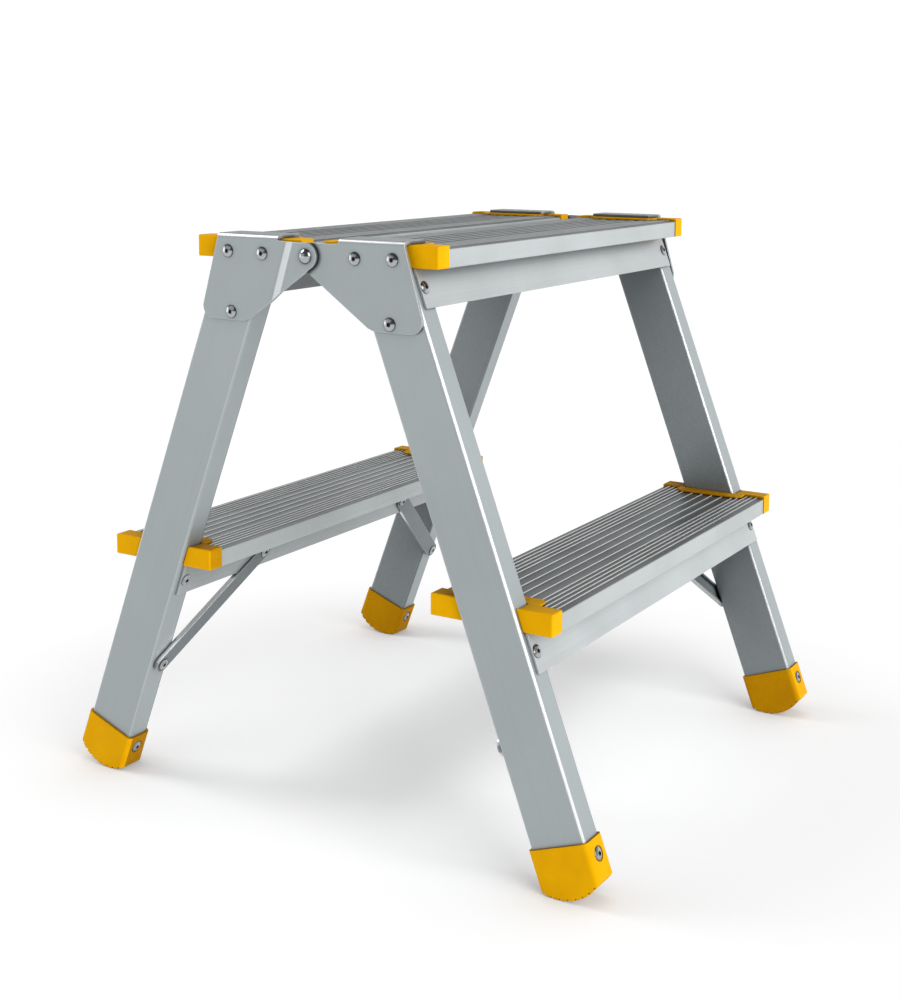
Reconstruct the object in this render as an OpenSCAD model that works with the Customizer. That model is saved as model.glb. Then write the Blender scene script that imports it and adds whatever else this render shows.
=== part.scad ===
// Double-sided step trestle: two aluminium half frames of two treads each,
// hinged together below the platform and standing as an A.
// Origin on the floor, midway between the four feet. X runs along the treads.

/* [Frame] */
// Height of the standing surface of the two top treads
top_tread_h = 440; // [400:5:520]
// Height of the standing surface of the lower treads
lower_tread_h = 196; // [170:2:230]
// Width over the outer faces of the stiles
frame_w = 424; // [340:2:600]
// Lean of each leg from the vertical, in degrees
leg_lean = 20.5; // [17:0.2:24]
// Gap between the two top treads
deck_gap = 20; // [16:1:30]

/* [Stiles] */
// Depth of the stile tube, across its wide face
stile_d = 44; // [36:1:50]
// Thickness of the stile tube, along the treads
stile_t = 20.5; // [18:0.5:26]
// Wall of the stile tube
stile_wall = 1.6; // [1.2:0.1:2.4]
// Corner radius of the stile tube
stile_r = 2.5; // [2:0.1:4]

/* [Treads] */
// Depth of a tread from nose to nose
tread_d = 96; // [90:1:110]
// Thickness of the tread plate
deck_t = 2; // [1.6:0.1:2.6]
// Height of a grip rib
rib_h = 0.7; // [0.4:0.1:1.2]
// Width of a grip rib
rib_w = 1; // [0.8:0.1:1.4]
// Distance between grip ribs
rib_pitch = 4.67; // [4.2:0.05:5]
// Height of the nose lip
nose_h = 14.6; // [12:0.2:17]
// Thickness of the nose lip
nose_t = 2; // [1.4:0.1:2.4]
// Width of the return at the foot of the nose lip
nose_return = 5; // [3:0.5:7]
// Radius of the upper nose edge
nose_r = 1.6; // [1.2:0.1:1.8]
// Drop of the outer aprons below the standing surface
apron_h = 42; // [38:1:50]
// Drop of the inner aprons below the standing surface
inner_apron_h = 40; // [37:0.5:50]
// Thickness of an apron
apron_t = 2; // [1.6:0.1:2.6]
// Distance from the outer face of a stile to the end of the aprons
apron_inset = 5; // [3:0.5:7]

/* [Tread caps] */
// Thickness of a cap along the tread
cap_t = 14.5; // [12:0.5:17]
// Distance from the outer face of a stile to the outer face of a cap
cap_inset = 3.5; // [2.6:0.1:4.5]
// Thickness of the cap plate on top of the deck
cap_plate_t = 1.5; // [1.2:0.1:2.2]
// Length of the cap strip beside the stile, along the tread depth
strip_l = 61; // [56:1:68]
// Width of the cap strip inward of the stile
strip_w = 11.5; // [9:0.5:16]
// Corner cut of the cap strip
strip_cut = 4; // [2:0.5:6]
// Distance by which a cap stands proud of the nose
cap_proud = 0.6; // [0.3:0.1:1.2]
// Edge radius of a cap
cap_r = 1.2; // [0.8:0.1:1.6]
// Length of the cap pegs inside the noses
peg_l = 10; // [6:1:16]
// Wall of a cap outside the apron ends
cap_wall = 1.6; // [1.2:0.1:2]

/* [Feet] */
// Wall of a foot round the stile
foot_wall = 1.8; // [1.4:0.1:2.6]
// Straight height of a foot along the stile
foot_l = 28; // [24:1:36]
// Radius of the rocking sole
sole_r = 36; // [34:1:44]
// Thickness of the sole under the stile end
sole_t = 3; // [2:0.5:5]
// Outer corner radius of a foot
foot_r = 4; // [3.5:0.1:5]
// Distance of the foot rivets below the upper edge of the foot
foot_rivet_drop = 11; // [8:0.5:14]
// Depth of the recess round a foot rivet
foot_recess = 0.7; // [0.4:0.1:1]

/* [Hinge] */
// Thickness of the hinge plates
plate_t = 2.5; // [2:0.1:3]
// Distance of the hinge axis below the standing surface
pivot_drop = 9.6; // [8.8:0.2:13]
// Radius of the rounded hinge eye
eye_r = 9.7; // [9:0.1:10.5]
// Diameter of the hinge rivet shank
pivot_d = 6; // [5:0.5:8]
// Diameter of the hinge rivet head
pivot_head_d = 11; // [9.5:0.5:13]
// Height of the domed hinge rivet head
pivot_head_h = 3.2; // [2.4:0.2:4]
// Width of the folded flange over the platform
flange_w = 27; // [22:1:32]
// Drop of the hinge plate below the standing surface
plate_drop = 60; // [56:1:70]
// Distance from the hinge axis to the near end of the flange
flange_start = 27; // [25:0.5:30]
// Overhang of the flange beyond the stile
flange_over = 4; // [1:0.5:6]
// Inner radius of the flange bend
bend_r = 1; // [0.6:0.1:1.4]
// Distance of the joggle from the hinge eye
joggle_in = 9.9; // [9.4:0.1:11.5]
// Width of the joggle ramp
joggle_w = 7.7; // [6.5:0.1:8.5]
// Lean of the joggle line from the vertical, in degrees
joggle_lean = 17.5; // [12:0.5:20]
// Distance of the plate edges inward of the stile edges
plate_inset = 0.8; // [0.4:0.1:2]
// Corner radius at the heel of a hinge plate, toward the other half
plate_heel_r = 12; // [8:1:16]
// Corner radius at the toe of a hinge plate
plate_toe_r = 9; // [5:1:11]

/* [Braces] */
// Width of a brace
brace_w = 14; // [12:0.5:18]
// Thickness of the web of a brace
brace_t = 2; // [1.6:0.1:3]
// Thickness of the rims of a brace
brace_rim = 1.6; // [1.2:0.1:2]
// Distance of the upper brace rivet from the middle of the tread
brace_top_x = 105; // [80:1:130]
// Distance of the brace rivets on the tread below its standing surface
brace_top_drop = 26.5; // [25:0.5:32]
// Distance of the brace rivets on the stile below the tread surface
brace_foot_drop = 101; // [85:1:115]

/* [Rivets] */
// Diameter of a rivet shank
rivet_d = 4.8; // [4:0.1:5]
// Diameter of a rivet head
rivet_head_d = 9.5; // [8.4:0.1:10.5]
// Height of a rivet head
rivet_head_h = 1.7; // [1.2:0.1:2.2]
// Diameter of the mandrel hole in a rivet head
mandrel_d = 2.8; // [2:0.1:3.2]
// Distance of the tread rivets below the standing surface
tread_rivet_drop = 28; // [24:0.5:32]

/* [Hidden] */

// Clearance between pieces that are seated on each other
seat = 0.1;
// Clearance where a stile passes a tread plate or a cap
pass = 0.3;
// Radial clearance of a rivet in its hole
hole_fit = 0.05;
// Clearance between the two hinge plates
plate_fit = 0.3;
// Overlap that joins two parts of one solid
merge = 0.2;
// Excess of a cutting shape over what it cuts
over = 1;

lean_sin = sin(leg_lean);
lean_cos = cos(leg_lean);
// Middle of the top treads, and the point where a leg crosses it
deck_y = deck_gap / 2 + tread_d / 2;
leg_z = top_tread_h - nose_h / 2;
// Places along the treads
stile_out = frame_w / 2;
stile_in = stile_out - stile_t;
stile_x = stile_out - stile_t / 2;
apron_end = stile_out - apron_inset;
cap_out = stile_out - cap_inset;
cap_in = cap_out - cap_t;
strip_in = stile_in - strip_w;
// Places across a leg, from its middle line
apron_v = stile_d / 2 + seat;
apron_face_v = apron_v + apron_t;
// Half depth of a leg, measured level
leg_half_y = stile_d / 2 / lean_cos;
// Foot: where the sole circle, the corners and the rims lie along the leg
foot_half_d = stile_d / 2 + seat + foot_wall;
foot_half_t = stile_t / 2 + seat + foot_wall;
sole_s = (leg_z - sole_r) / lean_cos;
corner_s = sole_s + sqrt(sole_r * sole_r - foot_half_d * foot_half_d);
foot_top_s = corner_s - foot_l;
stile_end_s = corner_s - sole_t;
foot_rivet_s = foot_top_s + foot_rivet_drop;
recess_r = rivet_head_d / 2 + foot_recess;
// Hinge plates, in layers outward from the stile
pivot_z = top_tread_h - pivot_drop;
plate_in = stile_out + seat;
plate_out = plate_in + plate_t;
eye_in = plate_out + plate_fit;
eye_out = eye_in + plate_t;
flange_z = top_tread_h + cap_plate_t + seat;
flange_top = flange_z + plate_t;
bend_out_r = plate_t + bend_r;
plate_low = top_tread_h - plate_drop;
heel_y = leg_y(plate_low, -stile_d / 2) + plate_inset;
toe_y = leg_y(plate_low, stile_d / 2) - plate_inset;
flange_end = leg_y(top_tread_h, stile_d / 2) + flange_over;
// Sink of the straight flanks into the hinge eye, so that they cross its arc cleanly
flank_sink = 0.05;
shoulder_z = pivot_z + eye_r - flank_sink;
// Set-back of the outer bend lines of the joggle, for an even wall
bend_shift = plate_t * tan(atan((eye_in - plate_in) / joggle_w) / 2);
// The stop of the front plate meets the joggle when the trestle stands open
stop_y = joggle_in + joggle_w * plate_fit / (eye_in - plate_in) - seat;
stop_l = eye_r * cos(joggle_lean) - pass;
stop_h = 0.9 * eye_r;
// Rivet places of a hinge plate: from the stile's inner and outer edge, and across the leg
inner_rivet_edge = 5.7;
outer_rivet_edge = 9.2;
low_rivet_v = -4.6;
upper_row_z = pivot_z + 0.6;
lower_row_z = plate_low + 6;
plate_rivets = [
    [leg_y(pivot_z, -stile_d / 2) + inner_rivet_edge, pivot_z],
    [leg_y(upper_row_z, stile_d / 2) - outer_rivet_edge, upper_row_z],
    [leg_y(lower_row_z, low_rivet_v), lower_row_z]
];
// Rivet head rim, and the bulb behind the sheet
head_rim = 0.4;
bulb_r = 3;
bulb_l = 4;
mandrel_depth = 1.3;
head_rise = rivet_head_h - head_rim;
head_ball_r = (head_rise * head_rise + rivet_head_d * rivet_head_d / 4) / (2 * head_rise);
pivot_ball_r = (pivot_head_h * pivot_head_h + pivot_head_d * pivot_head_d / 4)
    / (2 * pivot_head_h);
pivot_tail_r = 5;
pivot_tail_h = 1.6;
// Washer behind the foot of a brace
spacer_r = brace_w / 2 - brace_rim - pass;
// Grooves across the sole of a foot
groove_w = 1.6;
groove_depth = 1.2;
groove_step = 10;
// Segments of an arc in an outline
arc_steps = 6;
// Places of the grip ribs from the middle of the deck
rib_places = [for (k = [1, 3, 5, 6, 7, 8, 9]) k * rib_pitch];
// Level half depth of the way that a leg takes through a deck
passage_y = leg_half_y + nose_h / 2 * lean_sin / lean_cos + pass;

// Distance down the leg of a point at height z and v across the leg
function along(z, v) = (leg_z + v * lean_sin - z) / lean_cos;
// Level position of a point at height z and v across the leg
function leg_y(z, v) = deck_y + along(z, v) * lean_sin + v * lean_cos;

// Outline with rounded corners: points listed counterclockwise, one radius for each
function unit(v) = v / norm(v);
function corner_arc(p, q, n, r) =
    let (a = unit(p - q), b = unit(n - q), half = acos(a * b) / 2,
         reach = r / tan(half), hub = q + unit(a + b) * r / sin(half),
         from = q + a * reach - hub, turn = 180 - 2 * half,
         way = (a[0] * b[1] - a[1] * b[0]) < 0 ? 1 : -1)
    r == 0 ? [q] : [for (i = [0 : arc_steps]) let (t = way * turn * i / arc_steps)
        hub + [from[0] * cos(t) - from[1] * sin(t), from[0] * sin(t) + from[1] * cos(t)]];
function rounded(points, radii) =
    let (n = len(points))
    [for (i = [0 : n - 1]) each corner_arc(points[(i + n - 1) % n], points[i],
        points[(i + 1) % n], radii[i])];

module on_end(end) {
    if (end == "left") mirror([1, 0, 0]) children();
    else children();
}

module on_half(half) {
    if (half == "front") mirror([0, 1, 0]) children();
    else children();
}

// Frame of a rear leg: local -Z runs down the leg, local Y across it, outward
module leg_frame() {
    translate([0, deck_y, leg_z]) rotate([leg_lean, 0, 0]) children();
}

// A profile drawn as Y and Z, extruded along X between two places
module along_x(x0, x1) {
    translate([x0, 0, 0]) rotate([90, 0, 90]) linear_extrude(height = x1 - x0) children();
}

// Round-cornered rectangle from squares and circles
module round_rect(w, h, r) {
    square([w - 2 * r, h], center = true);
    square([w, h - 2 * r], center = true);
    for (x = [-1, 1], y = [-1, 1])
        translate([x * (w / 2 - r), y * (h / 2 - r)]) circle(r = r, $fn = 48);
}

module stile_section(grow) {
    round_rect(stile_t + 2 * grow, stile_d + 2 * grow, stile_r + grow);
}

// Bore for a rivet, along Z and centred
module rivet_bore(d, l) {
    cylinder(d = d + 2 * hole_fit, h = l, center = true, $fn = 48);
}

// Bores across the leg on its inner and outer narrow faces, at one place on the leg
module cross_bore(x, s, v, l) {
    translate([x, v, -s]) rotate([90, 0, 0]) rivet_bore(rivet_d, l);
}

module plate_rivet_bores(l) {
    for (p = plate_rivets)
        translate([plate_in, p[0], p[1]]) rotate([0, 90, 0]) rivet_bore(rivet_d, l);
}

// Heights of the two treads
tread_levels = [top_tread_h, lower_tread_h];
tread_rivet_v = [-apron_face_v, apron_face_v];
bore_l = 4 * (apron_t + stile_wall);

// Rear right stile
module stile_solid() {
    difference() {
        leg_frame() difference() {
            translate([stile_x, 0, -stile_end_s])
                linear_extrude(height = stile_end_s + stile_d) stile_section(0);
            translate([stile_x, 0, -stile_end_s - over])
                linear_extrude(height = stile_end_s + stile_d + 2 * over)
                    round_rect(stile_t - 2 * stile_wall, stile_d - 2 * stile_wall,
                        stile_r - stile_wall);
            for (z = tread_levels, v = tread_rivet_v)
                cross_bore(stile_x, along(z - tread_rivet_drop, v), v, bore_l);
            cross_bore(stile_x, along(lower_tread_h - brace_foot_drop, -apron_face_v),
                -apron_v, bore_l);
            for (v = [-1, 1]) cross_bore(stile_x, foot_rivet_s, v * stile_d / 2, bore_l);
        }
        translate([stile_in - over, 0, top_tread_h - rib_h])
            cube([stile_t + 2 * over, deck_y + tread_d, 2 * stile_d]);
        plate_rivet_bores(bore_l);
    }
}

// Half of the ribbed plate with its nose and its return, from the middle of the tread outward
module nose_half() {
    edge = tread_d / 2;
    plate_top = -rib_h;
    plate_low = plate_top - deck_t;
    polygon(rounded(
        [[0, plate_low], [edge - nose_t, plate_low], [edge - nose_t, nose_t - nose_h],
         [edge - nose_return, nose_t - nose_h], [edge - nose_return, -nose_h],
         [edge, -nose_h], [edge, plate_top], [0, plate_top]],
        [0, nose_t / 2, 0, 0, 0, nose_t / 3, nose_r, 0]));
    for (u = rib_places)
        translate([u - rib_w / 2, plate_top - merge]) square([rib_w, rib_h + merge]);
}

// Both aprons of a tread, parallel to the leg; drawn from the middle of the tread
module apron_pair() {
    top = -rib_h - deck_t / 2;
    for (a = [[apron_v, apron_h], [-apron_face_v, inner_apron_h]])
        polygon([for (p = [[a[0], top], [a[0], -a[1]], [a[0] + apron_t, -a[1]],
            [a[0] + apron_t, top]])
            [p[0] / lean_cos - (p[1] + nose_h / 2) * lean_sin / lean_cos, p[1]]]);
}

// Nose half, kept only outside the aprons
module outer_nose() {
    difference() {
        nose_half();
        translate([-over, -nose_h - over])
            square([passage_y + over, nose_h + 2 * over]);
    }
}

// Rear tread with its standing surface at height z
module tread_solid(z) {
    difference() {
        translate([0, deck_y + (top_tread_h - z) * lean_sin / lean_cos, z]) {
            along_x(pass - stile_in, stile_in - pass) {
                nose_half();
                mirror([1, 0]) nose_half();
            }
            along_x(-cap_in, cap_in) {
                outer_nose();
                mirror([1, 0]) outer_nose();
            }
            along_x(-apron_end, apron_end) apron_pair();
        }
        leg_frame() {
            for (side = [-1, 1], v = tread_rivet_v)
                cross_bore(side * stile_x, along(z - tread_rivet_drop, v), v, bore_l);
            if (z == lower_tread_h)
                for (side = [-1, 1])
                    cross_bore(side * brace_top_x, along(z - brace_top_drop, -apron_face_v),
                        -apron_face_v, bore_l);
        }
    }
}

// Plan of a cap on the right end of a tread, from the middle of the tread
module cap_plan() {
    half = tread_d / 2 + cap_proud;
    polygon(rounded(
        [[cap_out, -half], [cap_out, half], [cap_in, half], [cap_in, strip_l / 2],
         [strip_in + strip_cut, strip_l / 2], [strip_in, strip_l / 2 - strip_cut],
         [strip_in, strip_cut - strip_l / 2], [strip_in + strip_cut, -strip_l / 2],
         [cap_in, -strip_l / 2], [cap_in, -half]],
        [cap_r, cap_r, 0, 1, 1, 1, 1, 1, 1, 0]));
}

// Cross-section of a cap along X and Z, with its soft outer edges
module cap_section() {
    polygon(rounded(
        [[strip_in - over, cap_plate_t], [strip_in - over, -nose_h], [cap_out, -nose_h],
         [cap_out, cap_plate_t]],
        [0, 0, cap_r, cap_r]));
}

// Cross-section of a cap along the tread depth
module cap_side() {
    half = tread_d / 2 + cap_proud;
    polygon(rounded([[-half, -nose_h], [half, -nose_h], [half, cap_plate_t],
        [-half, cap_plate_t]], [cap_r, cap_r, cap_r, cap_r]));
}

// Hollow under one block of a cap
module cap_pocket() {
    far = tread_d / 2 + cap_proud - cap_wall;
    near = passage_y + apron_t + cap_wall;
    translate([cap_in + seat + cap_wall, near, -nose_h - over])
        cube([cap_t - seat - 2 * cap_wall, far - near, nose_h + over - cap_wall]);
}

// Way of the leg and its aprons through the tread ends
module leg_room() {
    leg_frame() {
        translate([stile_x, 0, -stile_end_s]) linear_extrude(height = stile_end_s + stile_d)
            round_rect(stile_t + 2 * pass, stile_d + 2 * pass, stile_r + pass);
        for (v = [-apron_face_v, apron_v])
            translate([cap_in - over, v - seat, -stile_end_s])
                cube([apron_end - cap_in + over + pass, apron_t + 2 * seat, stile_end_s + stile_d]);
    }
}

// Rear right cap of the tread at height z; an open cap lets the stile pass
module cap_solid(z, open) {
    y = deck_y + (top_tread_h - z) * lean_sin / lean_cos;
    difference() {
        translate([0, y, z]) {
            intersection() {
                translate([0, 0, -nose_h]) linear_extrude(height = nose_h + cap_plate_t)
                    cap_plan();
                rotate([90, 0, 0]) translate([0, 0, -tread_d])
                    linear_extrude(height = 2 * tread_d) cap_section();
                along_x(strip_in - over, cap_out + over) cap_side();
                union() {
                    translate([cap_in + seat, -tread_d, -nose_h - over])
                        cube([cap_t + over, 2 * tread_d, nose_h + cap_plate_t + 2 * over]);
                    translate([strip_in - over, -tread_d, seat])
                        cube([cap_t + strip_w + 4 * over, 2 * tread_d, cap_plate_t + over]);
                }
            }
            for (side = [-1, 1]) cap_peg(side);
        }
        translate([0, y, z]) {
            cap_pocket();
            mirror([0, 1, 0]) cap_pocket();
        }
        if (open) leg_room();
        else intersection() {
            leg_room();
            translate([cap_in - 2 * over, 0, plate_low])
                cube([cap_t + stile_t, 2 * tread_d, top_tread_h - rib_h + seat - plate_low]);
        }
    }
}

// Peg of a cap inside the nose, under the tread plate
module cap_peg(side) {
    top = -rib_h - deck_t - seat;
    low = nose_t - nose_h + seat;
    far = tread_d / 2 - nose_t - seat;
    near = far - nose_return;
    mirror([0, side > 0 ? 0 : 1, 0]) along_x(cap_in - peg_l, cap_in + merge + seat)
        polygon(rounded([[near, low], [far, low], [far, top], [near, top]],
            [0, 0, nose_t / 2, 0]));
}

// Side outline of a foot in the leg frame, with the round sole
module foot_side() {
    translate([0, -sole_s]) circle(r = sole_r, $fn = 180);
    translate([-foot_half_d, -corner_s]) square([2 * foot_half_d, corner_s - foot_top_s]);
}

// Rear right foot
module foot_solid() {
    inner_d = stile_d - 2 * stile_wall;
    inner_t = stile_t - 2 * stile_wall;
    leg_frame() difference() {
        intersection() {
            translate([stile_x, 0, -sole_s - sole_r])
                linear_extrude(height = sole_s + sole_r - foot_top_s)
                    round_rect(2 * foot_half_t, 2 * foot_half_d, foot_r);
            along_x(stile_x - foot_half_t, stile_x + foot_half_t) foot_side();
        }
        translate([stile_x, 0, -stile_end_s - seat])
            linear_extrude(height = stile_end_s + seat - foot_top_s + over) stile_section(seat);
        intersection() {
            translate([stile_x - inner_t / 2, 0, -sole_s]) rotate([0, 90, 0])
                cylinder(r = sole_r - sole_t, h = inner_t, $fn = 180);
            translate([stile_x - inner_t / 2, -inner_d / 2, -sole_s - sole_r])
                cube([inner_t, inner_d, sole_s + sole_r - stile_end_s]);
        }
        for (v = [-1, 1]) {
            cross_bore(stile_x, foot_rivet_s, v * foot_half_d, bore_l);
            translate([stile_x, v * (foot_half_d - foot_recess + over), -foot_rivet_s])
                rotate([90, 0, 0]) cylinder(r = recess_r, h = 2 * over, center = true, $fn = 60);
        }
        for (k = [-2 : 5]) translate([stile_x, 0, -sole_s])
            rotate([(k + 0.5) * groove_step - leg_lean, 0, 0])
                translate([-stile_t, -groove_w / 2, -sole_r - over])
                    cube([2 * stile_t, groove_w, groove_depth + over]);
    }
}

// Outline of a hinge plate without its flange, as level distance from the axis and height
module plate_outline() {
    bend_z = flange_top - bend_out_r;
    polygon(rounded([[0, pivot_z], [heel_y, plate_low], [toe_y, plate_low], [flange_end, bend_z],
        [flange_start, bend_z], [flange_start - 2 * plate_t, shoulder_z], [0, shoulder_z]],
        [0, plate_heel_r, plate_toe_r, 0, 0, 0, 0]));
    // Flank from the eye to the heel
    reach = norm([heel_y, pivot_z - plate_low]);
    turn = acos(eye_r / reach) + atan2(pivot_z - plate_low, heel_y);
    flank_l = sqrt(reach * reach - eye_r * eye_r) - plate_heel_r * tan((90 - turn / 2) / 2);
    translate([0, pivot_z]) {
        circle(r = eye_r, $fn = 96);
        rotate(90 - turn) translate([0, flank_sink - eye_r]) square([flank_l, eye_r]);
    }
}

// Folded flange over the tread end and its bend, drawn as X and Z
module flange_profile() {
    bend_z = flange_top - bend_out_r;
    translate([plate_out - flange_w, flange_z]) square([flange_w - bend_out_r, plate_t]);
    translate([plate_in, bend_z - merge]) square([plate_t, merge]);
    intersection() {
        translate([plate_out - bend_out_r, bend_z]) difference() {
            circle(r = bend_out_r, $fn = 72);
            circle(r = bend_r, $fn = 72);
        }
        translate([plate_out - bend_out_r, bend_z]) square([bend_out_r, bend_out_r]);
    }
}

module flange() {
    translate([0, flange_end, 0]) rotate([90, 0, 0])
        linear_extrude(height = flange_end - flange_start) flange_profile();
}

// Bores for the hinge rivet and the plate rivets
module plate_bores() {
    plate_rivet_bores(bore_l);
    translate([plate_out, 0, pivot_z]) rotate([0, 90, 0]) rivet_bore(pivot_d, bore_l);
}

// Front right hinge plate, drawn on the rear side: flat, with the stop beside its eye
module flat_plate() {
    difference() {
        union() {
            along_x(plate_in, plate_out) {
                plate_outline();
                intersection() {
                    translate([0, shoulder_z]) rotate(-joggle_lean)
                        translate([-stop_y, -stop_l]) square([stop_y + eye_r / 2, 2 * stop_l]);
                    translate([-2 * eye_r, pivot_z]) square([2 * eye_r, stop_h]);
                }
            }
            flange();
        }
        plate_bores();
    }
}

// Rear right hinge plate: its eye is set outward by one plate over a leaning ramp
module joggled_plate() {
    far = flange_end + plate_drop;
    difference() {
        union() {
            intersection() {
                along_x(plate_in - over, eye_out + over) plate_outline();
                translate([0, 0, shoulder_z]) rotate([joggle_lean, 0, 0])
                    translate([0, 0, -2 * plate_drop]) linear_extrude(height = 3 * plate_drop)
                        polygon(rounded(
                            [[eye_out, -far], [eye_out, joggle_in + bend_shift],
                             [plate_out, joggle_in + joggle_w + bend_shift], [plate_out, far],
                             [plate_in, far], [plate_in, joggle_in + joggle_w],
                             [eye_in, joggle_in], [eye_in, -far]],
                            [0, plate_t, bend_r, 0, 0, plate_t, bend_r, 0]));
            }
            flange();
        }
        plate_bores();
    }
}

// Rivet along Z with its head above the sheets and its bulb below them
module rivet(stack) {
    rotate_extrude($fn = 48) difference() {
        union() {
            intersection() {
                translate([0, rivet_head_h - head_ball_r]) circle(r = head_ball_r, $fn = 96);
                square([rivet_head_d / 2, 2 * rivet_head_h]);
            }
            translate([0, -stack - merge]) square([rivet_d / 2, stack + 2 * merge]);
            translate([0, -stack - hole_fit - bulb_l]) square([bulb_r, bulb_l]);
        }
        translate([0, rivet_head_h - mandrel_depth])
            square([mandrel_d / 2, mandrel_depth + over]);
    }
}

// Rivet from outside into the wide face of the stile, at a height and level distance
module plate_rivet(y, z) {
    translate([plate_out, y, z]) rotate([0, 90, 0]) rivet(plate_t + seat + stile_wall);
}

// Rivet across the leg in the leg frame, its head at v on the outer or the inner side
module cross_rivet(x, s, v, stack) {
    translate([x, v, -s]) rotate([v > 0 ? -90 : 90, 0, 0]) rivet(stack);
}

module pivot_rivet_solid() {
    tail_x = plate_in - pivot_tail_h;
    head_x = eye_out + seat;
    translate([tail_x, 0, pivot_z]) rotate([0, 90, 0]) rotate_extrude($fn = 72) {
        square([pivot_tail_r, pivot_tail_h]);
        square([pivot_d / 2, head_x - tail_x + merge]);
        intersection() {
            translate([0, head_x - tail_x + pivot_head_h - pivot_ball_r])
                circle(r = pivot_ball_r, $fn = 144);
            translate([0, head_x - tail_x]) square([pivot_head_d, 2 * pivot_head_h]);
        }
    }
}

// Rear right brace between the inner apron of the lower tread and the stile
brace_top_s = along(lower_tread_h - brace_top_drop, -apron_face_v);
brace_foot_s = along(lower_tread_h - brace_foot_drop, -apron_face_v);
brace_span = [stile_x - brace_top_x, brace_top_s - brace_foot_s];

// Outline of a brace, drawn in by an inset
module brace_plan(inset) {
    translate([brace_top_x, -brace_top_s]) rotate(atan2(brace_span[1], brace_span[0])) {
        translate([0, inset - brace_w / 2]) square([norm(brace_span), brace_w - 2 * inset]);
        for (x = [0, norm(brace_span)])
            translate([x, 0]) circle(d = brace_w - 2 * inset, $fn = 96);
    }
}

// The brace is a shallow channel: its web lies on the apron, its rims end at the stile
module brace_solid() {
    rim_h = apron_t + seat;
    rim_top_s = along(lower_tread_h - inner_apron_h, -apron_v) + pass;
    leg_frame() translate([0, -apron_v, 0]) rotate([90, 0, 0]) difference() {
        linear_extrude(height = rim_h + brace_t) brace_plan(0);
        translate([0, 0, -over]) linear_extrude(height = over + rim_h) brace_plan(brace_rim);
        translate([brace_top_x - brace_w, -rim_top_s, -over])
            cube([brace_w + brace_span[0], brace_w + rim_top_s - brace_top_s, over + rim_h]);
        for (p = [[brace_top_x, brace_top_s], [stile_x, brace_foot_s]])
            translate([p[0], -p[1], 0]) rivet_bore(rivet_d, bore_l);
    }
}

module spacer_solid() {
    leg_frame() translate([stile_x, -apron_v, -brace_foot_s]) rotate([90, 0, 0])
        linear_extrude(height = apron_t) difference() {
            circle(r = spacer_r, $fn = 72);
            circle(r = rivet_d / 2 + hole_fit, $fn = 48);
        }
}

module plate_rivet_set() {
    for (p = plate_rivets) plate_rivet(p[0], p[1]);
}

module tread_rivet_set() {
    leg_frame() for (z = tread_levels, v = tread_rivet_v)
        cross_rivet(stile_x, along(z - tread_rivet_drop, v), v, apron_t + seat + stile_wall);
}

module brace_rivet_set() {
    v = -apron_face_v - seat - brace_t;
    leg_frame() {
        cross_rivet(brace_top_x, brace_top_s, v, brace_t + seat + apron_t);
        cross_rivet(stile_x, brace_foot_s, v, brace_t + 2 * seat + apron_t + stile_wall);
    }
}

module foot_rivet_set() {
    v = foot_half_d - foot_recess;
    leg_frame() for (side = [-1, 1])
        cross_rivet(stile_x, foot_rivet_s, side * v, foot_wall - foot_recess + seat + stile_wall);
}

module both_ends() {
    on_end("right") children();
    on_end("left") children();
}

module front_stile_left() { color("silver") on_end("left") on_half("front") stile_solid(); }
module front_stile_right() { color("silver") on_end("right") on_half("front") stile_solid(); }
module rear_stile_left() { color("silver") on_end("left") on_half("rear") stile_solid(); }
module rear_stile_right() { color("silver") on_end("right") on_half("rear") stile_solid(); }
module front_top_tread() { color("gainsboro") on_half("front") tread_solid(top_tread_h); }
module front_lower_tread() { color("gainsboro") on_half("front") tread_solid(lower_tread_h); }
module rear_top_tread() { color("gainsboro") on_half("rear") tread_solid(top_tread_h); }
module rear_lower_tread() { color("gainsboro") on_half("rear") tread_solid(lower_tread_h); }
module front_top_cap_left() {
    color("gold") on_end("left") on_half("front") cap_solid(top_tread_h, false);
}
module front_top_cap_right() {
    color("gold") on_end("right") on_half("front") cap_solid(top_tread_h, false);
}
module rear_top_cap_left() {
    color("gold") on_end("left") on_half("rear") cap_solid(top_tread_h, false);
}
module rear_top_cap_right() {
    color("gold") on_end("right") on_half("rear") cap_solid(top_tread_h, false);
}
module front_lower_cap_left() {
    color("gold") on_end("left") on_half("front") cap_solid(lower_tread_h, true);
}
module front_lower_cap_right() {
    color("gold") on_end("right") on_half("front") cap_solid(lower_tread_h, true);
}
module rear_lower_cap_left() {
    color("gold") on_end("left") on_half("rear") cap_solid(lower_tread_h, true);
}
module rear_lower_cap_right() {
    color("gold") on_end("right") on_half("rear") cap_solid(lower_tread_h, true);
}
module front_foot_left() { color("gold") on_end("left") on_half("front") foot_solid(); }
module front_foot_right() { color("gold") on_end("right") on_half("front") foot_solid(); }
module rear_foot_left() { color("gold") on_end("left") on_half("rear") foot_solid(); }
module rear_foot_right() { color("gold") on_end("right") on_half("rear") foot_solid(); }
module front_hinge_plate_left() { color("darkgray") on_end("left") on_half("front") flat_plate(); }
module front_hinge_plate_right() { color("darkgray") on_end("right") on_half("front") flat_plate(); }
module rear_hinge_plate_left() { color("darkgray") on_end("left") on_half("rear") joggled_plate(); }
module rear_hinge_plate_right() { color("darkgray") on_end("right") on_half("rear") joggled_plate(); }
module pivot_rivet_left() { color("whitesmoke") on_end("left") pivot_rivet_solid(); }
module pivot_rivet_right() { color("whitesmoke") on_end("right") pivot_rivet_solid(); }
module front_brace_left() { color("lightgray") on_end("left") on_half("front") brace_solid(); }
module front_brace_right() { color("lightgray") on_end("right") on_half("front") brace_solid(); }
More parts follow.
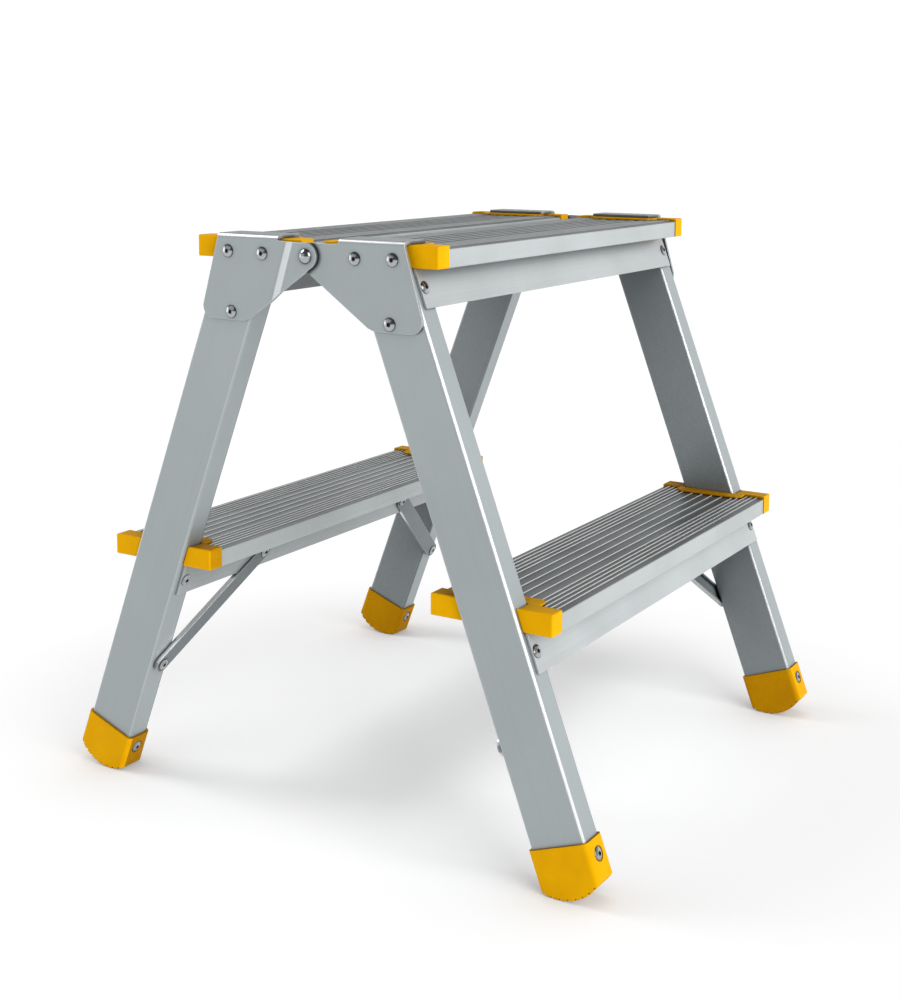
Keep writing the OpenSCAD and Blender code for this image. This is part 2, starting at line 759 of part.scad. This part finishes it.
module rear_brace_left() { color("lightgray") on_end("left") on_half("rear") brace_solid(); }
module rear_brace_right() { color("lightgray") on_end("right") on_half("rear") brace_solid(); }
module front_brace_spacers() { color("dimgray") on_half("front") both_ends() spacer_solid(); }
module rear_brace_spacers() { color("dimgray") on_half("rear") both_ends() spacer_solid(); }
module front_plate_rivets() { color("whitesmoke") on_half("front") both_ends() plate_rivet_set(); }
module rear_plate_rivets() { color("whitesmoke") on_half("rear") both_ends() plate_rivet_set(); }
module front_tread_rivets() { color("whitesmoke") on_half("front") both_ends() tread_rivet_set(); }
module rear_tread_rivets() { color("whitesmoke") on_half("rear") both_ends() tread_rivet_set(); }
module front_brace_rivets() { color("whitesmoke") on_half("front") both_ends() brace_rivet_set(); }
module rear_brace_rivets() { color("whitesmoke") on_half("rear") both_ends() brace_rivet_set(); }
module front_foot_rivets() { color("whitesmoke") on_half("front") both_ends() foot_rivet_set(); }
module rear_foot_rivets() { color("whitesmoke") on_half("rear") both_ends() foot_rivet_set(); }

front_stile_left();
front_stile_right();
rear_stile_left();
rear_stile_right();
front_top_tread();
front_lower_tread();
rear_top_tread();
rear_lower_tread();
front_top_cap_left();
front_top_cap_right();
rear_top_cap_left();
rear_top_cap_right();
front_lower_cap_left();
front_lower_cap_right();
rear_lower_cap_left();
rear_lower_cap_right();
front_foot_left();
front_foot_right();
rear_foot_left();
rear_foot_right();
front_hinge_plate_left();
front_hinge_plate_right();
rear_hinge_plate_left();
rear_hinge_plate_right();
pivot_rivet_left();
pivot_rivet_right();
front_brace_left();
front_brace_right();
rear_brace_left();
rear_brace_right();
front_brace_spacers();
rear_brace_spacers();
front_plate_rivets();
rear_plate_rivets();
front_tread_rivets();
rear_tread_rivets();
front_brace_rivets();
rear_brace_rivets();
front_foot_rivets();
rear_foot_rivets();
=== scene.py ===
import math
import random

import bmesh
import bpy
from mathutils import Matrix, Vector


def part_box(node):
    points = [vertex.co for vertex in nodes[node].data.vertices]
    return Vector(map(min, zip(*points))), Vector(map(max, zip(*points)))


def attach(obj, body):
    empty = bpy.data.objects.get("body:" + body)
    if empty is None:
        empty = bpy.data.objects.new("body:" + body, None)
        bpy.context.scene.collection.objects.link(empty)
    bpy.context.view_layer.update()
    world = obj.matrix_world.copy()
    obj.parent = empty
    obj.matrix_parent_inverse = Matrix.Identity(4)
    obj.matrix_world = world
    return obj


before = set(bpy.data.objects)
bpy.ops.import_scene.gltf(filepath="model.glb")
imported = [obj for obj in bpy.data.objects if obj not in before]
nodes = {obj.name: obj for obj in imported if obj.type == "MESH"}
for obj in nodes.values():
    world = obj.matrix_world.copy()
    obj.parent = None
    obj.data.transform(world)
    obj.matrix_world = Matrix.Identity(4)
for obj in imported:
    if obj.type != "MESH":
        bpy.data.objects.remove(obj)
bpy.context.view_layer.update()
mm = 0.001
legLean = math.radians(20.5)  # lean of the legs from the vertical
print("frame loaded,", len(nodes), "nodes")


# Wraps a node socket, so that shader maths reads as plain expressions
class Flow:
    def __init__(self, shader, socket):
        self.shader, self.socket = shader, socket

    def maths(self, operation, *others):
        values = dict(enumerate((self, *others)))
        return self.shader.add("ShaderNodeMath", {"operation": operation}, values)["Value"]

    def __add__(self, other):
        return self.maths("ADD", other)

    def __sub__(self, other):
        return self.maths("SUBTRACT", other)

    def __mul__(self, other):
        return self.maths("MULTIPLY", other)

    def __rsub__(self, other):
        return (self * -1.0) + other

    __radd__ = __add__
    __rmul__ = __mul__

    def spread(self, low, high):  # 0 to 1 between two limits, smooth at both ends
        ends = {"Value": self, "From Min": low, "From Max": high}
        kind = {"interpolation_type": "SMOOTHSTEP"}
        return self.shader.add("ShaderNodeMapRange", kind, ends)["Result"]


# Outputs of one node by name
class Made:
    def __init__(self, shader, node):
        self.shader, self.node = shader, node

    def __getitem__(self, name):
        return Flow(self.shader, self.node.outputs[name])


# Limits that several materials share, for the painted highlight on bends and for the painted shade on
# faces that look up or inwards
bendRange = {"low": 0.15, "high": 0.8, "rise": 0.25}
shelterRange = {"lift": (0, 0, 0.7), "top": (0, 0, 0.03), "full": 0.03}


# One node tree: of a material or of the world
class Shader:
    def __init__(self, tree):
        self.tree = tree
        tree.nodes.clear()

    def add(self, kind, settings=None, values=None):
        node = self.tree.nodes.new(kind)
        for name, value in (settings or {}).items():
            setattr(node, name, value)
        for name, value in (values or {}).items():
            if isinstance(value, Flow):
                self.tree.links.new(value.socket, node.inputs[name])
            else:
                node.inputs[name].default_value = value
        return Made(self, node)

    def vector(self, operation, *values, out="Vector"):
        kind = {"operation": operation}
        return self.add("ShaderNodeVectorMath", kind, dict(enumerate(values)))[out]

    def blend(self, mask, low, high, kind="MIX"):  # colours, low where the mask is 0
        def full(c):
            return c if isinstance(c, Flow) else (*c, 1.0)
        settings = {"data_type": "RGBA", "blend_type": kind}
        node = self.add("ShaderNodeMix", settings).node
        # a colour Mix node's factor, A and B are its sockets 0, 6 and 7, its result is output 2
        for place, value in ((0, mask), (6, full(low)), (7, full(high))):
            if isinstance(value, Flow):
                self.tree.links.new(value.socket, node.inputs[place])
            else:
                node.inputs[place].default_value = value
        return Flow(self, node.outputs[2])

    def place(self, turn=0.0, stretch=(1, 1, 1)):  # the piece's own coordinates in metres
        point = self.add("ShaderNodeTexCoord")["Object"]
        if turn:
            point = self.add("ShaderNodeVectorRotate", {"rotation_type": "X_AXIS"},
                             {"Vector": point, "Angle": turn})["Vector"]
        return self.vector("MULTIPLY", point, stretch)

    def noise(self, where, size, detail=3.0, rough=0.55):
        return self.add("ShaderNodeTexNoise", None,
                        {"Vector": where, "Scale": 1 / size, "Detail": detail,
                         "Roughness": rough})["Fac"]

    def edges(self, radius, gain):  # 1 along sharp edges, 0 on flat faces
        soft = self.add("ShaderNodeBevel", {"samples": 4}, {"Radius": radius})["Normal"]
        true = self.add("ShaderNodeNewGeometry")["Normal"]
        dot = self.vector("DOT_PRODUCT", soft, true, out="Value")
        return soft, ((1 - dot) * gain).spread(0.0, 1.0)

    def hollow(self, distance):  # 0 in crevices, 1 in the open
        return self.add("ShaderNodeAmbientOcclusion", {"samples": 6},
                        {"Distance": distance})["AO"]

    def highlightBends(self, rise):  # mask for a painted highlight on the roundings beside the outer faces, and whether they look up enough
        way = self.add("ShaderNodeTexCoord")["Normal"]
        parts = self.add("ShaderNodeSeparateXYZ", None, {"Vector": way})
        side = parts["X"]
        upward = parts["Z"].spread(rise, rise + bendRange["rise"])
        slanted = side * side * (1 - side * side) * 4  # 1 halfway round a bend
        return slanted.spread(bendRange["low"], bendRange["high"]) * upward, upward

    def paintedShade(self, colour, look):  # painted shade: darker where covered from above, on faces that look up or into the trestle
        true = self.add("ShaderNodeNewGeometry")["Normal"]
        raised = self.vector("NORMALIZE", self.vector("ADD", true, shelterRange["lift"]))
        free = self.add("ShaderNodeAmbientOcclusion", {"samples": 5},
                        {"Distance": look["shelter"], "Normal": raised})["AO"]
        middle = self.vector("ADD", self.place(0.0, look["inward"]), shelterRange["top"])
        way = self.add("ShaderNodeTexCoord")["Normal"]
        inward = self.vector("DOT_PRODUCT", way, middle, out="Value")
        inward = inward.spread(0, shelterRange["full"])
        inside = (1 - free.spread(look["shelterFrom"], look["shelterTo"])) * inward
        return self.blend(inside, colour, look["shade"], "MULTIPLY")

    def finish(self, constants, varying, height=None, depth=0.0, normal=None):
        if height is not None:
            bump = {"Height": height, "Distance": depth}
            if normal is not None:
                bump["Normal"] = normal
            normal = self.add("ShaderNodeBump", None, bump)["Normal"]
        if normal is not None:
            varying["Normal"] = normal
        surface = self.add("ShaderNodeBsdfPrincipled", None, {**constants, **varying})["BSDF"]
        self.add("ShaderNodeOutputMaterial", None, {"Surface": surface})


def newMaterial(name):
    material = bpy.data.materials.new(name)
    material.use_nodes = True
    return material, Shader(material.node_tree)


def dress(material, *names):
    for name in names:
        slots = nodes[name].data.materials
        slots.clear()
        slots.append(material)


# Drawn aluminium: fine lines along the tube, soft clouds, light wear on the edges, a painted
# highlight on edges and bends that look up, and painted shade in joints and on faces inside the
# trestle
tubeLook = {"dark": (0.345, 0.385, 0.396), "light": (0.41, 0.455, 0.466),
            "edge": (0.90, 0.91, 0.915), "joint": (0.05, 0.055, 0.06), "jointReach": 3 * mm,
            "lineWidth": 0.3 * mm, "lineLength": 120 * mm, "grain": 0.4 * mm,
            "cloud": 80 * mm, "roughness": 0.42, "metallic": 0.5, "edgeRadius": 2.0 * mm,
            "lineDepth": 0.006 * mm, "shelter": 0.4, "shelterFrom": 0.45, "shelterTo": 0.92,
            "shade": (0.33, 0.34, 0.34), "inward": (-1, -0.05, 0), "rise": -0.25,
            "jointFrom": 0.2, "jointTo": 0.75, "rim": 0.75, "rimLow": 0.15, "rimGain": 6.0,
            "bend": 0.9, "bendPolish": 0.15, "toneFrom": 0.3, "toneTo": 0.7,
            "toneShares": (0.4, 0.3, 0.3), "heightShares": (0.6, 0.4), "swing": 0.08}


def drawnMetal(name, look, turn=0.0, along=2):
    material, shader = newMaterial(name)
    stretch = [1.0, 1.0, 1.0]
    stretch[along] = look["lineWidth"] / look["lineLength"]
    lines = shader.noise(shader.place(turn, stretch), look["lineWidth"], 4.0, 0.6)
    grain = shader.noise(shader.place(turn), look["grain"], 2.0, 0.7)
    cloud = shader.noise(shader.place(turn), look["cloud"], 3.0, 0.5)
    soft, rim = shader.edges(look["edgeRadius"], look["rimGain"])
    clear = shader.hollow(look["jointReach"]).spread(look["jointFrom"], look["jointTo"])
    byLine, byGrain, byCloud = look["toneShares"]
    tone = lines * byLine + grain * byGrain + cloud * byCloud
    tone = tone.spread(look["toneFrom"], look["toneTo"])
    colour = shader.blend(tone, look["dark"], look["light"])
    # Edges get light wear everywhere and a painted highlight where they look up; bends that look up
    # get a painted highlight too
    bendHighlight, upward = shader.highlightBends(look["rise"])
    colour = shader.blend(rim * (upward * look["rim"] + look["rimLow"]), colour, look["edge"])
    colour = shader.blend(bendHighlight * look["bend"], colour, look["edge"])
    # Painted shade on faces inside the trestle, then painted shade in joints
    colour = shader.paintedShade(colour, look)
    colour = shader.blend(clear, look["joint"], colour)
    swing = look["swing"]
    roughness = lines * swing + cloud * swing - bendHighlight * look["bendPolish"] \
        + (look["roughness"] - swing)
    byLine, byGrain = look["heightShares"]
    height = lines * byLine + grain * byGrain
    shader.finish({"Metallic": look["metallic"]},
                  {"Base Color": colour, "Roughness": roughness},
                  height, look["lineDepth"], soft)
    return material


for half, sign in (("front", -1), ("rear", 1)):
    tube = drawnMetal(half + "LegTube", tubeLook, -sign * legLean)
    dress(tube, half + "_stile_left", half + "_stile_right")
print("legs done")


# Treads: grip-rib tops painted near white, partly bright wear and partly a painted highlight; a
# darker, duller floor between them; lines along the tread; painted shade in joints and inside the
# trestle
treadLook = {"floor": (0.19, 0.205, 0.21), "floorLight": (0.33, 0.35, 0.355),
             "side": (0.455, 0.482, 0.49), "sideLight": (0.535, 0.567, 0.575),
             "ribTop": (0.95, 0.96, 0.96), "joint": (0.05, 0.055, 0.06),
             "jointReach": 3 * mm, "lineWidth": 0.35 * mm, "lineLength": 200 * mm,
             "cloud": 60 * mm, "roughness": 0.40, "metallic": 0.5, "topMetallic": 0.8,
             "ribDepth": 0.7 * mm, "ribFrom": 0.35 * mm, "ribTo": 0.1 * mm,
             "floorFrom": 0.9 * mm, "floorTo": 0.2 * mm, "rimGain": 6.0, "rim": 0.5,
             "jointFrom": 0.2, "jointTo": 0.75, "edgeRadius": 0.6 * mm, "lineDepth": 0.006 * mm,
             "shelter": 0.4, "shelterFrom": 0.25, "shelterTo": 0.8,
             "shade": (0.3, 0.31, 0.31), "inward": (-1, -1, 0), "ribMetallic": 0.3,
             "scuff": 3 * mm, "scuffStretch": 0.25, "scuffShare": 0.15, "lineShare": 0.5,
             "toneFrom": 0.34, "toneTo": 0.66, "ribWear": 0.5, "ribLeast": 0.65,
             "swing": 0.08, "floorDull": 0.02, "ribPolish": 0.04}


def treadMetal(name, top, look):
    material, shader = newMaterial(name)
    shrink = look["lineWidth"] / look["lineLength"]
    lines = shader.noise(shader.place(0.0, (shrink, 1, 1)), look["lineWidth"], 4.0, 0.6)
    cloud = shader.noise(shader.place(), look["cloud"], 3.0, 0.5)
    scuff = shader.noise(shader.place(0.0, (look["scuffStretch"], 1, 1)), look["scuff"], 4.0, 0.7)
    soft, rim = shader.edges(look["edgeRadius"], look["rimGain"])
    apart = shader.add("ShaderNodeSeparateXYZ", None, {"Vector": shader.place()})
    height = apart["Z"]
    floor = top - look["ribDepth"]
    ribs = height.spread(top - look["ribFrom"], top - look["ribTo"])
    flat = height.spread(floor - look["floorFrom"], floor - look["floorTo"])
    share, scuffShare = look["lineShare"], look["scuffShare"]
    tone = (lines * share + cloud * (1 - share)).spread(look["toneFrom"], look["toneTo"])
    side = shader.blend(tone, look["side"], look["sideLight"])
    marked = tone * (1 - scuffShare) + scuff * scuffShare
    scuffedFloor = shader.blend(marked, look["floor"], look["floorLight"])
    # The flat tops and floor are coloured darker than the sides; painted shade on faces inside the
    # trestle
    colour = shader.paintedShade(shader.blend(flat, side, scuffedFloor), look)
    # Rib tops near white, partly bright wear and partly a painted highlight; edges take the same
    # colour; painted shade in joints
    colour = shader.blend(ribs * (lines * look["ribWear"] + look["ribLeast"]), colour, look["ribTop"])
    colour = shader.blend(rim * look["rim"], colour, look["ribTop"])
    clear = shader.hollow(look["jointReach"]).spread(look["jointFrom"], look["jointTo"])
    colour = shader.blend(clear, look["joint"], colour)
    roughness = lines * look["swing"] + flat * look["floorDull"] - ribs * look["ribPolish"] \
        + (look["roughness"] - look["swing"] / 2)
    metallic = flat * (look["topMetallic"] - look["metallic"]) + look["metallic"] \
        - ribs * (look["topMetallic"] - look["ribMetallic"])
    shader.finish({}, {"Base Color": colour, "Roughness": roughness, "Metallic": metallic},
                  lines * (1 - scuffShare) + scuff * scuffShare, look["lineDepth"], soft)
    return material


# Shaded and lit copies of the tread metal: painted shade makes the platform's rib tops darker, and
# painted light makes the rear lower tread's floor lighter, under weaker painted shade
shadedTopLook = {**treadLook, "ribTop": (0.60, 0.62, 0.625)}
litRearLook = {**treadLook, "floor": (0.36, 0.38, 0.385), "floorLight": (0.52, 0.54, 0.545),
            "shade": (0.6, 0.61, 0.61)}
for name, look in (("front_top_tread", shadedTopLook), ("rear_top_tread", shadedTopLook),
                   ("front_lower_tread", treadLook), ("rear_lower_tread", litRearLook)):
    dress(treadMetal(name + "Metal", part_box(name)[1].z, look), name)
print("treads done")


# Hinge plates and braces: satin sheet with a faint rolled texture
# Plates: rise -1.5 lets every edge and bend take the painted highlight
plateLook = {**tubeLook, "light": (0.385, 0.43, 0.44), "lineWidth": 0.4 * mm,
             "lineLength": 8 * mm, "grain": 0.35 * mm, "cloud": 30 * mm, "roughness": 0.44,
             "edgeRadius": 0.7 * mm, "shade": (0.5, 0.5, 0.5), "rise": -1.5,
             "jointReach": 4 * mm, "jointFrom": 0.65, "jointTo": 0.98}
barLook = {**plateLook, "dark": (0.25, 0.285, 0.295), "light": (0.32, 0.36, 0.375),
           "lineLength": 30 * mm, "cloud": 25 * mm, "roughness": 0.4, "inward": (-1, -1, 0)}
plateMetal = drawnMetal("hingeSheet", plateLook)
barMetal = drawnMetal("braceBar", barLook, 0.0, 0)
for half in ("front", "rear"):
    for end in ("left", "right"):
        dress(plateMetal, "%s_hinge_plate_%s" % (half, end))
        dress(barMetal, "%s_brace_%s" % (half, end))
print("plates and braces done")


# Rivets: bright steel, with painted shade in the mandrel hole and a painted dark reflection round the
# head
rivetLook = {"dark": (0.006, 0.007, 0.008), "light": (0.42, 0.44, 0.45), "grain": 0.5 * mm,
             "roughness": 0.12, "depth": 3 * mm, "depthFrom": 0.78, "depthTo": 0.99,
             "edgeRadius": 1.1 * mm, "rimGain": 8.0, "rim": 0.9,
             "grainRough": 0.08, "holeRough": 0.25, "grainDepth": 0.01 * mm}


def rivetSteel(name, look):
    material, shader = newMaterial(name)
    grain = shader.noise(shader.place(), look["grain"], 3.0, 0.6)
    # Painted shade in the hollow and a painted dark reflection on the head's rim
    clear = shader.hollow(look["depth"]).spread(look["depthFrom"], look["depthTo"])
    rim = shader.edges(look["edgeRadius"], look["rimGain"])[1]
    colour = shader.blend(clear * (1 - rim * look["rim"]), look["dark"], look["light"])
    roughness = grain * look["grainRough"] + (1 - clear) * look["holeRough"] + look["roughness"]
    shader.finish({"Metallic": 1.0}, {"Base Color": colour, "Roughness": roughness},
                  grain, look["grainDepth"])
    return material


rivetMetal = rivetSteel("rivetSteel", rivetLook)
rivetNodes = ["%s_%s_rivets" % (half, kind) for half in ("front", "rear")
              for kind in ("plate", "tread", "brace", "foot")]
dress(rivetMetal, *rivetNodes, "pivot_rivet_left", "pivot_rivet_right",
      "front_brace_spacers", "rear_brace_spacers")
print("rivets done")


# Yellow caps and feet: moulded plastic, finely grained, paler along the edges, with painted shade in
# joints and on faces inside the trestle
plasticLook = {"deep": (0.82, 0.40, 0.0), "base": (0.91, 0.465, 0.0),
               "edge": (1.0, 0.66, 0.01), "joint": (0.20, 0.08, 0.0), "jointReach": 3 * mm,
               "grain": 0.35 * mm, "cloud": 22 * mm, "roughness": 0.5,
               "edgeRadius": 0.6 * mm, "grainDepth": 0.02 * mm, "shine": 0.03,
               "shelter": 0.4, "shelterFrom": 0.45, "shelterTo": 0.95,
               "shade": (0.36, 0.29, 0.27), "inward": (-1, -0.3, 0), "rimGain": 5.0,
               "rim": 0.45, "jointFrom": 0.2, "jointTo": 0.8, "cloudShare": 0.7,
               "grainShare": 0.3, "toneFrom": 0.3, "toneTo": 0.7, "grainRough": 0.12,
               "cloudRough": 0.1}


def mouldedPlastic(name, look):
    material, shader = newMaterial(name)
    grain = shader.noise(shader.place(), look["grain"], 2.0, 0.6)
    cloud = shader.noise(shader.place(), look["cloud"], 3.0, 0.5)
    soft, rim = shader.edges(look["edgeRadius"], look["rimGain"])
    clear = shader.hollow(look["jointReach"]).spread(look["jointFrom"], look["jointTo"])
    tone = cloud * look["cloudShare"] + grain * look["grainShare"]
    tone = tone.spread(look["toneFrom"], look["toneTo"])
    colour = shader.blend(tone, look["deep"], look["base"])
    colour = shader.blend(rim * look["rim"], colour, look["edge"])
    # Painted shade on faces inside the trestle, then painted shade in joints
    colour = shader.paintedShade(colour, look)
    colour = shader.blend(clear, look["joint"], colour)
    roughness = grain * look["grainRough"] + cloud * look["cloudRough"] \
        + (look["roughness"] - look["cloudRough"])
    shader.finish({"Metallic": 0.0, "Specular IOR Level": look["shine"]},
                  {"Base Color": colour, "Roughness": roughness},
                  grain, look["grainDepth"], soft)
    return material


plastic = mouldedPlastic("yellowMoulding", plasticLook)
for half in ("front", "rear"):
    for end in ("left", "right"):
        dress(plastic, "%s_foot_%s" % (half, end),
              "%s_top_cap_%s" % (half, end), "%s_lower_cap_%s" % (half, end))
print("caps and feet done")


# Broken stems of the blind rivets, down in their holes, coloured near black as painted shade in the
# holes
stemLook = {"radius": 1.3 * mm, "below": 1.3 * mm, "height": 0.45 * mm, "sides": 18,
            "profile": ((1.0, 0.0), (1.0, 0.6), (0.8, 0.9), (0.45, 1.0)),  # radius, height
            "rough": 0.12 * mm, "dark": (0.01, 0.01, 0.011), "light": (0.06, 0.06, 0.063),
            "crumb": 0.4 * mm, "crumbDepth": 0.04 * mm, "crumbRough": 0.3, "roughness": 0.35}


def islands(mesh):  # vertex groups of the separate solids in a mesh
    near = [[] for _ in mesh.vertices]
    byPlace = {}
    for v in mesh.vertices:
        byPlace.setdefault(tuple(round(c, 6) for c in v.co), []).append(v.index)
    for same in byPlace.values():
        for a, b in zip(same, same[1:]):
            near[a].append(b)
            near[b].append(a)
    for e in mesh.edges:
        a, b = e.vertices
        near[a].append(b)
        near[b].append(a)
    seen, found = set(), []
    for start in range(len(near)):
        if start in seen:
            continue
        group, queue = [], [start]
        seen.add(start)
        while queue:
            i = queue.pop()
            group.append(mesh.vertices[i].co.copy())
            for j in near[i]:
                if j not in seen:
                    seen.add(j)
                    queue.append(j)
        found.append(group)
    return found


def headOf(points, axis):  # middle of the head's top, and the way it faces
    side = axis.orthogonal().normalized()
    third = axis.cross(side)
    middle = Vector()
    for way in (side, third):
        reach = [p.dot(way) for p in points]
        middle += way * (min(reach) + max(reach)) / 2
    rims = [(((p - middle) - axis * p.dot(axis)).length, p.dot(axis)) for p in points]
    along = [a for _, a in rims]
    widest = max(rims)[1]
    if widest < (min(along) + max(along)) / 2:
        return middle + axis * min(along), -axis
    return middle + axis * max(along), axis


def rivetStems(half, look):
    sign = 1 if half == "rear" else -1
    across = Vector((0, sign * math.cos(legLean), math.sin(legLean)))
    mesh = bmesh.new()
    dice = random.Random(7)
    for kind in ("plate", "tread", "brace", "foot"):
        axis = Vector((1, 0, 0)) if kind == "plate" else across
        for points in islands(nodes["%s_%s_rivets" % (half, kind)].data):
            top, way = headOf(points, axis)
            turn = way.to_track_quat("Z", "Y").to_matrix().to_4x4()
            place = Matrix.Translation(top - way * look["below"]) @ turn
            rings = []
            for share, lift in look["profile"]:
                ring = []
                for i in range(look["sides"]):
                    angle = 2 * math.pi * i / look["sides"]
                    rise = lift * look["height"] + (dice.uniform(0, look["rough"]) if lift else 0)
                    ring.append(mesh.verts.new(place @ Vector((
                        share * look["radius"] * math.cos(angle),
                        share * look["radius"] * math.sin(angle), rise))))
                rings.append(ring)
            for low, high in zip(rings, rings[1:]):
                for i in range(look["sides"]):
                    j = (i + 1) % look["sides"]
                    mesh.faces.new((low[i], low[j], high[j], high[i]))
            mesh.faces.new(list(reversed(rings[0])))
            mesh.faces.new(rings[-1])
    data = bpy.data.meshes.new(half + "RivetStems")
    mesh.to_mesh(data)
    mesh.free()
    stems = bpy.data.objects.new(half + "RivetStems", data)
    bpy.context.scene.collection.objects.link(stems)
    return stems


# The stems' near-black colour is painted shade in the rivet holes
stemMetal, shader = newMaterial("brokenStem")
crumb = shader.noise(shader.place(), stemLook["crumb"], 3.0, 0.7)
shader.finish({"Metallic": 1.0},
              {"Base Color": shader.blend(crumb, stemLook["dark"], stemLook["light"]),
               "Roughness": crumb * stemLook["crumbRough"] + stemLook["roughness"]},
              crumb, stemLook["crumbDepth"])
for half in ("front", "rear"):
    stems = rivetStems(half, stemLook)
    stems.data.materials.append(stemMetal)
    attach(stems, half + "_frame")
print("rivet stems done")


# Floor: a white paper sheet that glows more and more with its distance, so that no edge shows; a
# painted contact shadow darkens it and its glow near the trestle
floorLook = {"reach": 14.0, "paper": (0.80, 0.80, 0.80), "fleck": (0.77, 0.77, 0.775),
             "glowNear": (0.32, 0.32, 0.32), "glowFar": (1.0, 1.0, 1.0), "contact": 150 * mm,
             "pressed": (0.55, 0.58, 0.61), "fadeFrom": 0.22, "fadeTo": 0.54, "roughness": 0.7,
             "contactFrom": 0.35, "contactTo": 1.0, "grain": 1.5 * mm, "cells": 8,
             "shine": 0.1}
floorMesh = bmesh.new()
bmesh.ops.create_grid(floorMesh, x_segments=floorLook["cells"],
                      y_segments=floorLook["cells"], size=floorLook["reach"])
floorData = bpy.data.meshes.new("floor")
floorMesh.to_mesh(floorData)
floorMesh.free()
floor = bpy.data.objects.new("floor", floorData)
bpy.context.scene.collection.objects.link(floor)
paper, shader = newMaterial("whitePaper")
fleck = shader.noise(shader.place(), floorLook["grain"], 3.0, 0.6)
away = shader.vector("LENGTH", shader.place(), out="Value")
far = away.spread(floorLook["fadeFrom"], floorLook["fadeTo"])
near = shader.blend(fleck, floorLook["fleck"], floorLook["paper"])
# Painted contact shadow: darkens the paper and its glow near the trestle and its feet
contactShadow = shader.hollow(floorLook["contact"])
contactShadow = 1 - contactShadow.spread(floorLook["contactFrom"], floorLook["contactTo"])
near = shader.blend(contactShadow, near, floorLook["pressed"], "MULTIPLY")
shadedGlow = shader.blend(contactShadow, floorLook["glowNear"], floorLook["pressed"], "MULTIPLY")
shader.finish({"Emission Strength": 1.0, "Specular IOR Level": floorLook["shine"],
               "Roughness": floorLook["roughness"]},
              {"Base Color": shader.blend(far, near, (0.0, 0.0, 0.0)),
               "Emission Color": shader.blend(far, shadedGlow, floorLook["glowFar"])})
floorData.materials.append(paper)

# Clean whites, as in a catalogue picture
bpy.context.scene.view_settings.view_transform = "Standard"

# World: a white band behind the object, a soft dome, and a brighter patch ahead on the right
worldLook = {"white": 1.0, "dome": 0.10, "ahead": 0.25, "behindWay": (0.85, 0.53, 0.0),
             "aheadWay": (0.78, -0.58, 0.25), "bandTop": (0.16, 0.5),
             "behindFade": (-0.35, 0.35), "aheadFade": (0.2, 0.95)}
world = bpy.data.worlds.new("studio")
bpy.context.scene.world = world
world.use_nodes = True
shader = Shader(world.node_tree)
ray = shader.add("ShaderNodeTexCoord")["Generated"]


def facing(way):
    return shader.vector("DOT_PRODUCT", ray, way, out="Value")


low = 1 - facing((0, 0, 1)).spread(*worldLook["bandTop"])
behind = facing(worldLook["behindWay"]).spread(*worldLook["behindFade"])
ahead = facing(worldLook["aheadWay"]).spread(*worldLook["aheadFade"])
level = behind * low * (worldLook["white"] - worldLook["dome"]) \
    + ahead * worldLook["ahead"] + worldLook["dome"]
glow = shader.add("ShaderNodeBackground", None, {"Strength": level, "Color": (1, 1, 1, 1)})
shader.add("ShaderNodeOutputWorld", None, {"Surface": glow["Background"]})

# Lights: watts, edge length and place in metres
lightLook = {
    "keyPanel": {"watts": 90.0, "size": 2.6, "place": (-0.9, -2.6, 1.7), "aim": (0, 0, 0.25)},
    "leftPanel": {"watts": 0.6, "size": 0.6, "place": (-0.85, 0.4, 0.5), "aim": (-0.2, 0, 0.25)},
    "backPanel": {"watts": 22.0, "size": 0.9, "place": (-0.5, 1.7, 1.9), "aim": (0, 0, 0.3)},
    "bendPanel": {"watts": 2.0, "size": 0.8, "place": (-0.7, 1.9, 0.5), "aim": (-0.2, 0, 0.35)},
}
for name, look in lightLook.items():
    data = bpy.data.lights.new(name, "AREA")
    data.energy, data.size = look["watts"], look["size"]
    lamp = bpy.data.objects.new(name, data)
    lamp.location = look["place"]
    aim = Vector(look["aim"]) - lamp.location
    lamp.rotation_euler = aim.to_track_quat("-Z", "Y").to_euler()
    bpy.context.scene.collection.objects.link(lamp)
print("floor, world and lights done")

# Camera: the photograph's own angle; the frame is 900 by 1000 pixels
viewLook = {"place": (-1.1004, -0.6644, 0.5207), "azimuth": -58.42, "tilt": 7.76, "roll": 0.26,
            "focalPixels": 1548, "centre": (450, 340), "width": 900, "height": 1000,
            "sensor": 36.0}
lens = bpy.data.cameras.new("photoCamera")
camera = bpy.data.objects.new("photoCamera", lens)
bpy.context.scene.collection.objects.link(camera)
longSide = max(viewLook["width"], viewLook["height"])
lens.sensor_width = viewLook["sensor"]
lens.lens = viewLook["focalPixels"] / longSide * viewLook["sensor"]
lens.shift_x = (viewLook["width"] / 2 - viewLook["centre"][0]) / longSide
lens.shift_y = (viewLook["centre"][1] - viewLook["height"] / 2) / longSide
azimuth, tilt = math.radians(viewLook["azimuth"]), math.radians(viewLook["tilt"])
back = Vector((math.sin(azimuth) * math.cos(tilt), -math.cos(azimuth) * math.cos(tilt),
               math.sin(tilt)))
turn = (-back).to_track_quat("-Z", "Y").to_matrix().to_4x4()
roll = Matrix.Rotation(math.radians(viewLook["roll"]), 4, "Z")
camera.matrix_world = Matrix.Translation(viewLook["place"]) @ turn @ roll
bpy.context.scene.camera = camera
print("camera done")

bpy.context.view_layer.update()
